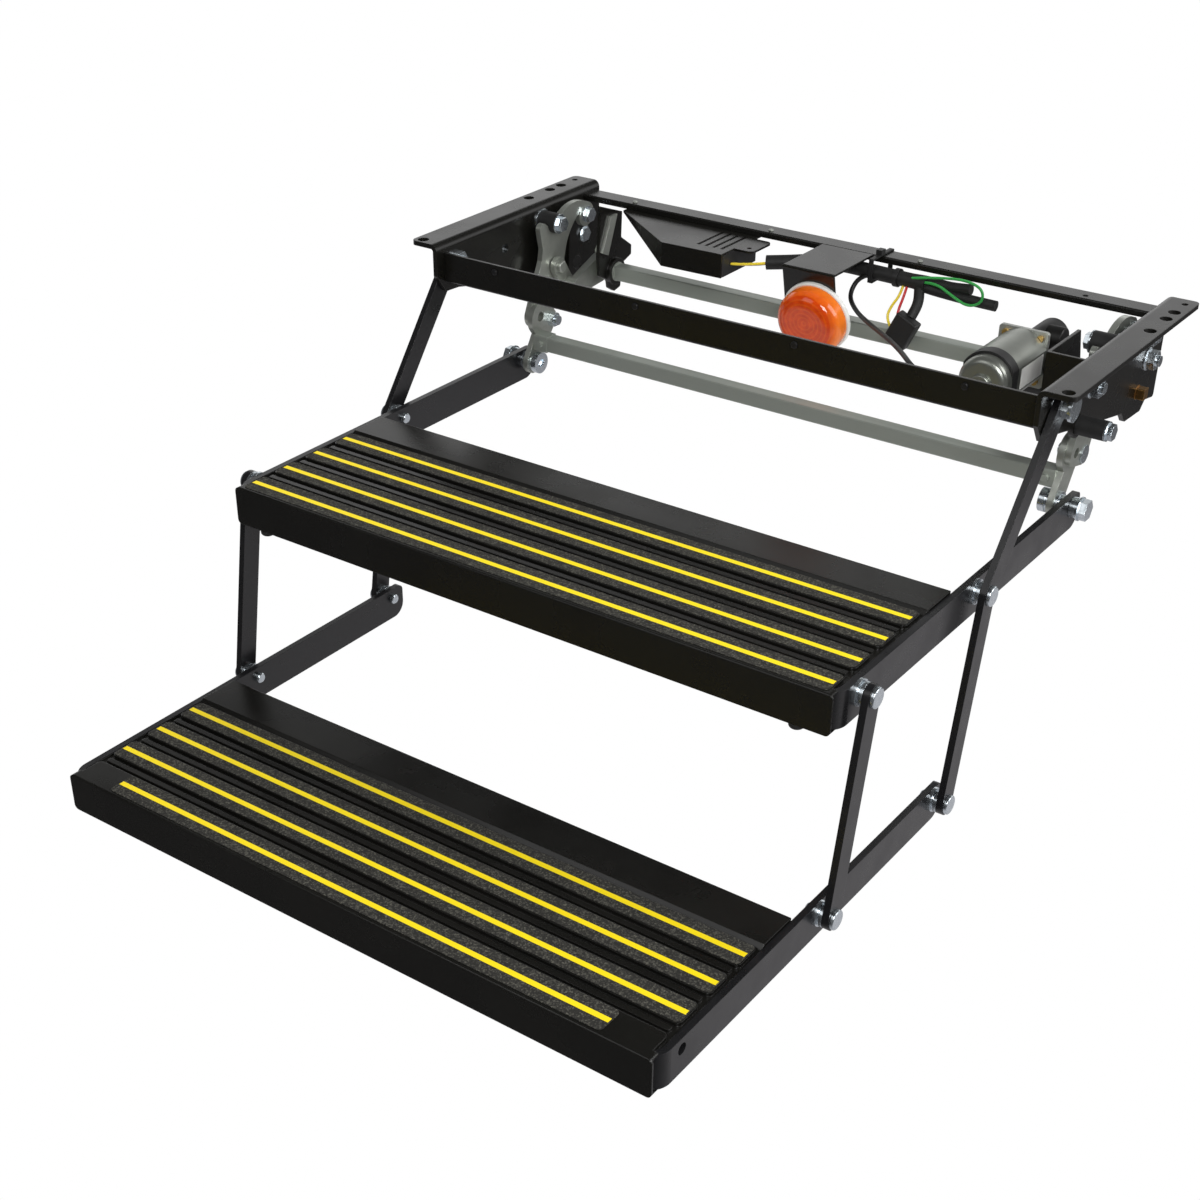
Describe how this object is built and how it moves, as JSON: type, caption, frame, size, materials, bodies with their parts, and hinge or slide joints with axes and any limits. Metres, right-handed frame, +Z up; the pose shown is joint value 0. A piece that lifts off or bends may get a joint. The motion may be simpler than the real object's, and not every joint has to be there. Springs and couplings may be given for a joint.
{
  "type": "electric folding camper step",
  "caption": "Electric folding entry step: grip treads on linked arms that swing under a bolt-on frame, driven by a worm-gear motor and torque bar, with a courtesy lamp.",
  "frame": {"origin": "centre of the rectangle of the four main mounting bolts, on the top faces of the two flanges", "axes": "+X to the right across the door opening, +Y in under the vehicle, +Z up, square to the flanges"},
  "size_m": [0.693, 0.7965, 0.3648],
  "materials": {
    "black_paint": "semi-gloss black paint",
    "grip_tape": "coarse grit",
    "zinc": "zinc plated",
    "brass_plated": "yellow passivated",
    "black_rubber": "matt",
    "black_plastic": "satin",
    "motor_steel": "satin",
    "amber": "clear amber",
    "white_plastic": "gloss",
    "green_wire": "green sleeve",
    "wire_mix": "coloured sleeves"
  },
  "bodies": {
    "frame": {"bearing_plate_left": "black_paint", "bearing_plate_right": "black_paint", "cable_ties": "black_plastic", "control_box": "black_plastic", "control_hood": "black_paint", "earth_wire": "green_wire", "feed_wires": "wire_mix", "frame_bolts": "zinc", "front_crossmember": "black_paint", "gearbox": "black_paint", "hanger_strap": "zinc", "harness_connector": "black_plastic", "inner_stop_sleeves": "black_rubber", "lamp_bracket": "black_paint", "lamp_cable": "black_plastic", "lamp_lens": "amber", "lamp_ring": "white_plastic", "long_link_bolts": "zinc", "motor_band": "black_plastic", "motor_bracket": "black_paint", "motor_can": "motor_steel", "motor_cap": "motor_steel", "motor_flange": "motor_steel", "motor_screws": "brass_plated", "mount_flange_left": "black_paint", "mount_flange_right": "black_paint", "outer_stop_sleeves": "black_rubber", "pigtail_wires": "wire_mix", "rear_crossmember": "black_paint", "rear_pivot_bolts": "zinc", "shaft_hanger": "black_paint", "square_studs": "brass_plated", "stop_bolts": "zinc", "wiring_loom": "black_plastic"},
    "long_links": {"long_link_right": "black_paint", "long_link_left": "black_paint"},
    "upper_step": {"upper_tread": "black_paint", "upper_step_arm_right": "black_paint", "upper_step_arm_left": "black_paint", "upper_grip_strips": "grip_tape", "upper_step_pins": "zinc", "bump_feet": "black_rubber"},
    "lower_step": {"lower_tread": "black_paint", "lower_step_arm_right": "black_paint", "lower_step_arm_left": "black_paint", "lower_grip_strips": "grip_tape", "lower_step_pins": "zinc"},
    "lower_front_links": {"lower_front_link_right": "black_paint", "lower_front_link_left": "black_paint"},
    "rear_links": {"rear_link_plate_right": "zinc", "rear_link_plate_left": "zinc", "rear_link_fork_right": "zinc", "rear_link_fork_left": "zinc", "rear_link_fasteners": "zinc", "tie_bar": "zinc"},
    "torque_shaft": {"torque_bar": "zinc", "crank_right": "zinc", "crank_left": "zinc"},
    "drive_links": {"drive_link_right": "zinc", "drive_link_left": "zinc"}
  },
  "joints": [
    {"name": "fold", "type": "hinge", "parent": "frame", "child": "long_links", "pos_m": [0, -0.089, -0.022], "axis": [1, 0, 0], "range_deg": [0, 79]},
    {"name": "upper_step_pivot", "type": "hinge", "parent": "long_links", "child": "upper_step", "pos_m": [0, -0.1893, -0.1523], "axis": [1, 0, 0], "range_deg": [-79, 0]},
    {"name": "lower_step_pivot", "type": "hinge", "parent": "long_links", "child": "lower_step", "pos_m": [0, -0.221, -0.34], "axis": [1, 0, 0], "range_deg": [-79, 0]},
    {"name": "lower_front_link_pivot", "type": "hinge", "parent": "upper_step", "child": "lower_front_links", "pos_m": [0, -0.3843, -0.1523], "axis": [1, 0, 0], "range_deg": [0, 79]},
    {"name": "rear_link_pivot", "type": "hinge", "parent": "frame", "child": "rear_links", "pos_m": [0, 0.106, -0.022], "axis": [1, 0, 0], "range_deg": [0, 79]},
    {"name": "torque_shaft_turn", "type": "hinge", "parent": "frame", "child": "torque_shaft", "pos_m": [0, 0.106, -0.076], "axis": [1, 0, 0], "range_deg": [0, 111.13]},
    {"name": "drive_link_pivot", "type": "hinge", "parent": "torque_shaft", "child": "drive_links", "pos_m": [0, 0.06491, -0.08472], "axis": [1, 0, 0], "range_deg": [-156.38, 0]}
  ],
  "couplings": [
    {"joint": "upper_step_pivot", "follows": "fold", "ratio": -1},
    {"joint": "lower_step_pivot", "follows": "fold", "ratio": -1},
    {"joint": "lower_front_link_pivot", "follows": "fold", "ratio": 1},
    {"joint": "rear_link_pivot", "follows": "fold", "ratio": 1},
    {"joint": "torque_shaft_turn", "follows": "fold", "ratio": 1.4066},
    {"joint": "drive_link_pivot", "follows": "fold", "ratio": -1.9794}
  ]
}
